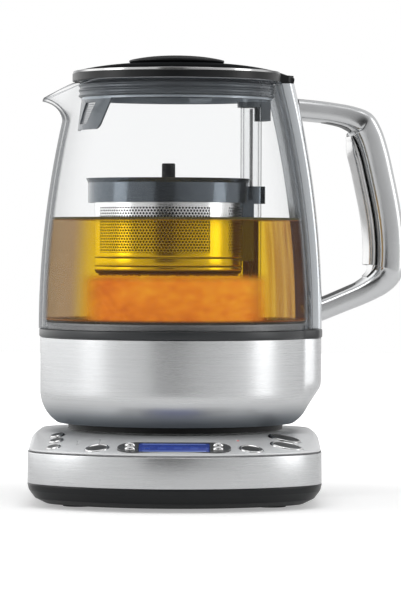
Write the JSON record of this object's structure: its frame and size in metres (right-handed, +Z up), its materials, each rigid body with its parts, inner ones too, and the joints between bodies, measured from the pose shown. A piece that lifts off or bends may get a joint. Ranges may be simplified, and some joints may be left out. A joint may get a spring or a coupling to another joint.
{
  "type": "automatic tea maker",
  "caption": "Automatic tea maker: a glass jug with a steel shell, D handle and motor-lifted infuser basket, on a cordless power base with display and buttons.",
  "frame": {"origin": "middle of the base's hub on the table, on the jug's axis", "axes": "+Z up; -Y towards the front with the display and buttons; +X to the right, where the handle points before the jug is turned"},
  "size_m": [0.2208, 0.1995, 0.2616],
  "materials": {
    "black_plastic": "moulded black",
    "foot_rubber": "matt rubber",
    "screw_steel": "plated",
    "brushed_steel": "brushed round the body",
    "panel_silver": "satin silver",
    "connector_black": "heat-resistant moulding",
    "contact_brass": "plated contacts",
    "board_green": "printed board",
    "switch_grey": "moulded",
    "module_black": "display module",
    "lens_blue": "clear, lit blue",
    "bezel_grey": "satin dark grey",
    "lamp_dark": "smoked lens",
    "panel_button": "satin dark cap with a bright rim",
    "side_button": "pale cap",
    "seal_black": "silicone",
    "clear_glass": "clear borosilicate",
    "floor_steel": "stainless plate",
    "element_grey": "sheathed element",
    "motor_grey": "motor can",
    "clear_tube": "clear tube",
    "nut_grey": "plastic with magnets",
    "spine_steel": "satin steel",
    "handle_chrome": "polished",
    "insert_grey": "satin grey strip",
    "collar_grey": "grey moulding",
    "magnet_nickel": "nickel plated",
    "basket_steel": "perforated stainless",
    "knob_black": "black moulding",
    "lid_dark": "dark satin dome",
    "trim_chrome": "polished ring",
    "rim_black": "black moulding",
    "skirt_grey": "grey moulding",
    "silicone_grey": "grey silicone",
    "filter_mesh": "fine mesh in a frame"
  },
  "bodies": {
    "base": {"base_tray": "black_plastic", "base_feet": "foot_rubber", "base_screws": "screw_steel", "base_band": "brushed_steel", "base_panel": "panel_silver", "base_connector": "connector_black", "contact_pins": "contact_brass", "control_board": "board_green", "tact_switches": "switch_grey", "lcd_module": "module_black", "lcd_lens": "lens_blue", "lcd_bezel": "bezel_grey", "indicator_lamps": "lamp_dark", "power_board": "board_green", "cord_gland": "black_plastic"},
    "key_left_back": {"button_left_back": "panel_button"},
    "key_left_middle": {"button_left_middle": "panel_button"},
    "key_left_front": {"button_left_front": "panel_button"},
    "key_round_left": {"button_round_left": "panel_button"},
    "key_round_right": {"button_round_right": "panel_button"},
    "key_oval_back": {"button_oval_back": "panel_button"},
    "key_oval_front": {"button_oval_front": "panel_button"},
    "key_left_up": {"button_left_up": "side_button"},
    "key_left_down": {"button_left_down": "side_button"},
    "key_right_up": {"button_right_up": "side_button"},
    "key_right_down": {"button_right_down": "side_button"},
    "coupler": {"jug_connector": "connector_black"},
    "jug": {"jug_bottom": "black_plastic", "jug_bottom_screws": "screw_steel", "jug_shell": "brushed_steel", "jug_seal_ring": "seal_black", "glass_jug": "clear_glass", "jug_floor": "floor_steel", "heating_element": "element_grey", "temperature_sensor": "contact_brass", "lift_motor": "motor_grey", "lift_tube": "clear_tube", "tube_seal": "seal_black", "handle_spine": "spine_steel", "handle": "handle_chrome", "handle_insert": "insert_grey", "handle_screws": "screw_steel"},
    "screw": {"drive_screw": "screw_steel"},
    "nut": {"drive_nut": "nut_grey"},
    "basket": {"basket_collar": "collar_grey", "carriage_magnets": "magnet_nickel", "basket_cup": "basket_steel"},
    "basket_cover": {"basket_lid": "collar_grey", "basket_knob": "knob_black"},
    "lid": {"lid_cover": "lid_dark", "lid_trim_ring": "trim_chrome", "lid_rim": "rim_black", "lid_knob": "knob_black", "lid_skirt": "skirt_grey", "lid_seal": "silicone_grey", "spout_filter": "filter_mesh", "lid_screws": "screw_steel"}
  },
  "joints": [
    {"name": "jug_lift", "type": "slide", "parent": "base", "child": "coupler", "axis": [0, 0, 1], "range_m": [0, 0.06]},
    {"name": "jug_swivel", "type": "hinge", "parent": "coupler", "child": "jug", "pos_m": [0, 0, 0.045], "axis": [0, 0, 1], "continuous": true},
    {"name": "lid_lift", "type": "slide", "parent": "jug", "child": "lid", "axis": [0, 0, 1], "range_m": [0, 0.06]},
    {"name": "basket_lift", "type": "slide", "parent": "jug", "child": "basket", "axis": [0, 0, 1], "range_m": [-0.024, 0.034]},
    {"name": "nut_slide", "type": "slide", "parent": "jug", "child": "nut", "axis": [0, 0, 1], "range_m": [-0.024, 0.034]},
    {"name": "screw_spin", "type": "hinge", "parent": "jug", "child": "screw", "pos_m": [0.04404, 0.0118, 0.1], "axis": [0, 0, 1], "range_deg": [-1440, 2040]},
    {"name": "basket_lid_lift", "type": "slide", "parent": "basket", "child": "basket_cover", "axis": [0, 0, 1], "range_m": [0, 0.007]},
    {"name": "press_left_back", "type": "slide", "parent": "base", "child": "key_left_back", "axis": [0.2137, 0.1133, -0.9703], "range_m": [0, 0.001], "stiffness_N_per_m": 450},
    {"name": "press_left_middle", "type": "slide", "parent": "base", "child": "key_left_middle", "axis": [0.1927, 0.1462, -0.9703], "range_m": [0, 0.001], "stiffness_N_per_m": 450},
    {"name": "press_left_front", "type": "slide", "parent": "base", "child": "key_left_front", "axis": [0.1728, 0.1693, -0.9703], "range_m": [0, 0.001], "stiffness_N_per_m": 450},
    {"name": "press_round_left", "type": "slide", "parent": "base", "child": "key_round_left", "axis": [0.1112, 0.2148, -0.9703], "range_m": [0, 0.001], "stiffness_N_per_m": 450},
    {"name": "press_round_right", "type": "slide", "parent": "base", "child": "key_round_right", "axis": [-0.1105, 0.2152, -0.9703], "range_m": [0, 0.001], "stiffness_N_per_m": 450},
    {"name": "press_oval_back", "type": "slide", "parent": "base", "child": "key_oval_back", "axis": [-0.1932, 0.1455, -0.9703], "range_m": [0, 0.001], "stiffness_N_per_m": 450},
    {"name": "press_oval_front", "type": "slide", "parent": "base", "child": "key_oval_front", "axis": [-0.1681, 0.1739, -0.9703], "range_m": [0, 0.001], "stiffness_N_per_m": 450},
    {"name": "press_left_up", "type": "slide", "parent": "base", "child": "key_left_up", "axis": [0, 0.2419, -0.9703], "range_m": [0, 0.001], "stiffness_N_per_m": 450},
    {"name": "press_left_down", "type": "slide", "parent": "base", "child": "key_left_down", "axis": [0, 0.2419, -0.9703], "range_m": [0, 0.001], "stiffness_N_per_m": 450},
    {"name": "press_right_up", "type": "slide", "parent": "base", "child": "key_right_up", "axis": [0, 0.2419, -0.9703], "range_m": [0, 0.001], "stiffness_N_per_m": 450},
    {"name": "press_right_down", "type": "slide", "parent": "base", "child": "key_right_down", "axis": [0, 0.2419, -0.9703], "range_m": [0, 0.001], "stiffness_N_per_m": 450}
  ],
  "couplings": [
    {"joint": "nut_slide", "follows": "basket_lift", "ratio": 1},
    {"joint": "screw_spin", "follows": "basket_lift", "rad_per_m": 1047.2}
  ]
}
